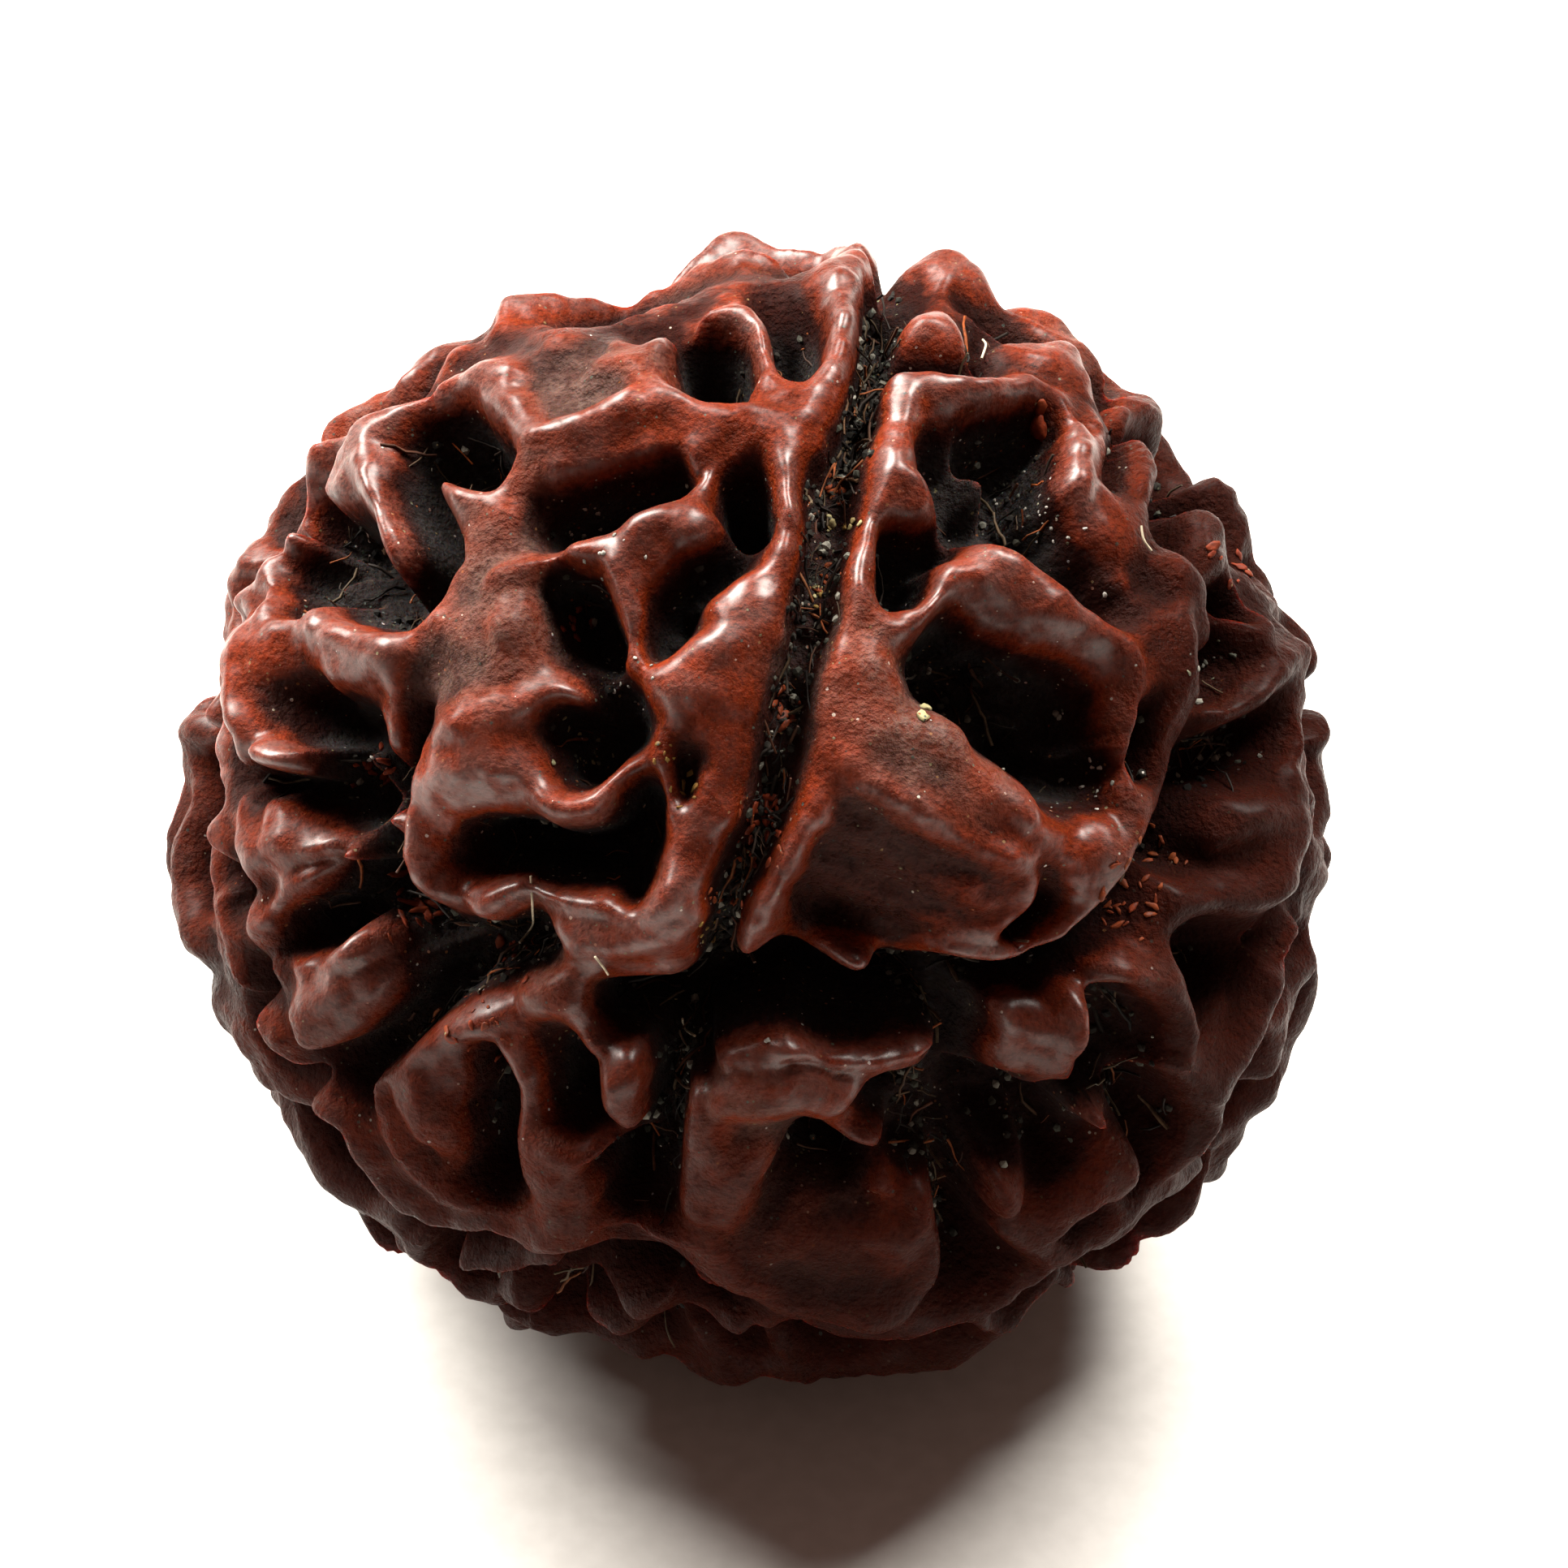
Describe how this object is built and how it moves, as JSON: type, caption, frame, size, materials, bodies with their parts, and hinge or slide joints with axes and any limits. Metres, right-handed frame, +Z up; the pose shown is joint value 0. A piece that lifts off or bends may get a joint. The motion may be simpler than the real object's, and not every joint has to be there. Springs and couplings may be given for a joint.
{
  "type": "rudraksha bead",
  "caption": "Dried rudraksha stone bead, squat and round, its deep grooves running pole to pole between faces covered in a maze of rounded ridges, knobs and pits.",
  "frame": {"origin": "centre of the bounding box's base, on the surface that the bead rests on", "axes": "+Z up as the bead rests, -Y towards the side with the pole that shows, +X to that side's right; the line through the poles rises about 24 degrees towards -Y"},
  "size_m": [0.0218, 0.0192, 0.0206],
  "materials": {
    "stone": "dark red-brown, waxy ridge tops, dull blackish pits"
  },
  "bodies": {
    "root": {"bead": "stone"}
  },
  "joints": []
}
